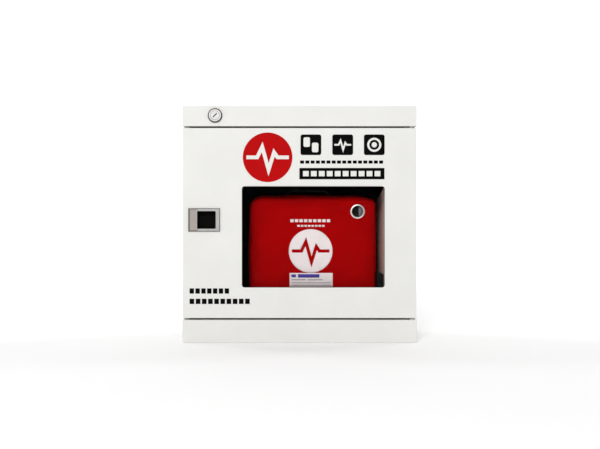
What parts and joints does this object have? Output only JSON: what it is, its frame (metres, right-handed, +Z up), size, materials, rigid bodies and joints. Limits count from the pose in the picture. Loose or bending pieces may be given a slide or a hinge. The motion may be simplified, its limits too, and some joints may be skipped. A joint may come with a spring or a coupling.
{
  "type": "defibrillator cabinet station",
  "caption": "White sheet steel wall cabinet with a windowed door, holding a public defibrillator in a red padded carry case, with finger latch, key switch and door alarm.",
  "frame": {"origin": "centre of the flat base, on the surface it stands on", "axes": "+X to the right as seen from the front, +Y towards the wall, +Z up; the door faces -Y"},
  "size_m": [0.43, 0.1851, 0.435],
  "materials": {
    "white_paint": "satin powder coat",
    "black_paint": "matt powder coat",
    "grey_paint": "warm grey powder coat",
    "black_rubber": "matt foam rubber",
    "black_plastic": "moulded, fine grain",
    "zinc_steel": "zinc plated",
    "satin_chrome": "satin plated",
    "black_nickel": "black nickel plate",
    "satin_steel": "brushed",
    "lever_enamel": "matt beige",
    "clear_pane": "clear acrylic",
    "clear_lens": "clear",
    "red_print": "vinyl film",
    "black_print": "vinyl film",
    "white_print": "vinyl film",
    "label_film": "film label",
    "white_plastic": "moulded",
    "red_cloth": "woven nylon",
    "zip_tape": "woven tape",
    "webbing": "woven strap",
    "grey_foam": "closed cell foam",
    "aed_grey": "moulded",
    "aed_dark": "moulded",
    "display_black": "glossy",
    "can_blue": "sleeved can",
    "green_plastic": "moulded",
    "orange_plastic": "moulded",
    "circuit_board": "solder mask",
    "cell_sleeve": "sleeved cells",
    "wire_sleeve": "insulated wire"
  },
  "bodies": {
    "cabinet": {"cabinet_shell": "white_paint", "back_panel": "white_paint", "header_panel": "white_paint", "sill_panel": "white_paint", "bay_liner": "black_paint", "bay_partition_left": "black_paint", "hinge_side_liner": "grey_paint", "shelf": "black_paint", "shelf_stop": "black_rubber", "door_seal": "black_rubber", "catch_housing": "black_plastic", "catch_magnet": "zinc_steel", "door_switch_body": "black_plastic", "sounder": "black_plastic", "alarm_board": "circuit_board", "battery_holder": "black_plastic", "alarm_cells": "cell_sleeve", "alarm_wiring": "wire_sleeve", "key_switch_barrel": "satin_chrome", "key_switch_nut": "zinc_steel", "key_switch_contacts": "black_plastic", "hinge_pins": "zinc_steel"},
    "door": {"door_skin": "white_paint", "window_frame": "white_paint", "window_pane": "clear_pane", "window_seal": "black_rubber", "window_nuts": "zinc_steel", "hinge_brackets": "zinc_steel", "hinge_bushes": "black_plastic", "latch_bezel": "satin_steel", "latch_housing": "black_plastic", "latch_pivot_pin": "zinc_steel", "latch_spring": "zinc_steel", "catch_keeper": "zinc_steel", "door_emblem": "red_print", "door_pictograms": "black_print", "door_notice": "black_print"},
    "lever": {"latch_lever": "lever_enamel"},
    "key": {"key_plug": "satin_chrome"},
    "plunger": {"switch_plunger": "white_plastic"},
    "case": {"case_front_shell": "red_cloth", "case_rear_shell": "red_cloth", "case_zip": "zip_tape", "case_handle": "webbing", "case_ring": "satin_chrome", "case_lens": "clear_lens", "case_emblem": "white_print", "case_label": "label_film", "case_foam": "grey_foam", "aed_front_shell": "aed_grey", "aed_rear_shell": "aed_dark", "aed_status_display": "display_black", "pads_cartridge": "aed_grey", "aed_battery": "aed_dark", "aed_capacitor": "can_blue", "aed_board": "circuit_board"},
    "zip": {"zip_pull": "black_nickel"},
    "on_key": {"on_button": "green_plastic"},
    "shock_key": {"shock_button": "orange_plastic"}
  },
  "joints": [
    {"name": "door_hinge", "type": "hinge", "parent": "cabinet", "child": "door", "pos_m": [0.206, -0.082, 0.2175], "axis": [0, 0, 1], "range_deg": [0, 110]},
    {"name": "lever_pull", "type": "hinge", "parent": "door", "child": "lever", "pos_m": [-0.2, -0.0896, 0.2256], "axis": [0, 0, -1], "range_deg": [0, 25], "stiffness_Nm_per_rad": 0.02},
    {"name": "key_turn", "type": "hinge", "parent": "cabinet", "child": "key", "pos_m": [-0.155, -0.08, 0.417], "axis": [0, 1, 0], "range_deg": [0, 90]},
    {"name": "plunger_follow", "type": "slide", "parent": "cabinet", "child": "plunger", "axis": [0, -1, 0], "range_m": [0, 0.004]},
    {"name": "case_lift", "type": "slide", "parent": "cabinet", "child": "case", "axis": [0, 0, 1], "range_m": [0, 0.014]},
    {"name": "zip_swing", "type": "hinge", "parent": "case", "child": "zip", "pos_m": [-0.0982, 0.006, 0.18], "axis": [0, 1, 0], "range_deg": [0, 90]},
    {"name": "on_press", "type": "slide", "parent": "case", "child": "on_key", "axis": [0, 1, 0], "range_m": [0, 0.0018], "stiffness_N_per_m": 300},
    {"name": "shock_press", "type": "slide", "parent": "case", "child": "shock_key", "axis": [0, 1, 0], "range_m": [0, 0.0018], "stiffness_N_per_m": 300}
  ],
  "couplings": [
    {"joint": "plunger_follow", "follows": "door_hinge", "m_per_rad": 0.002}
  ]
}
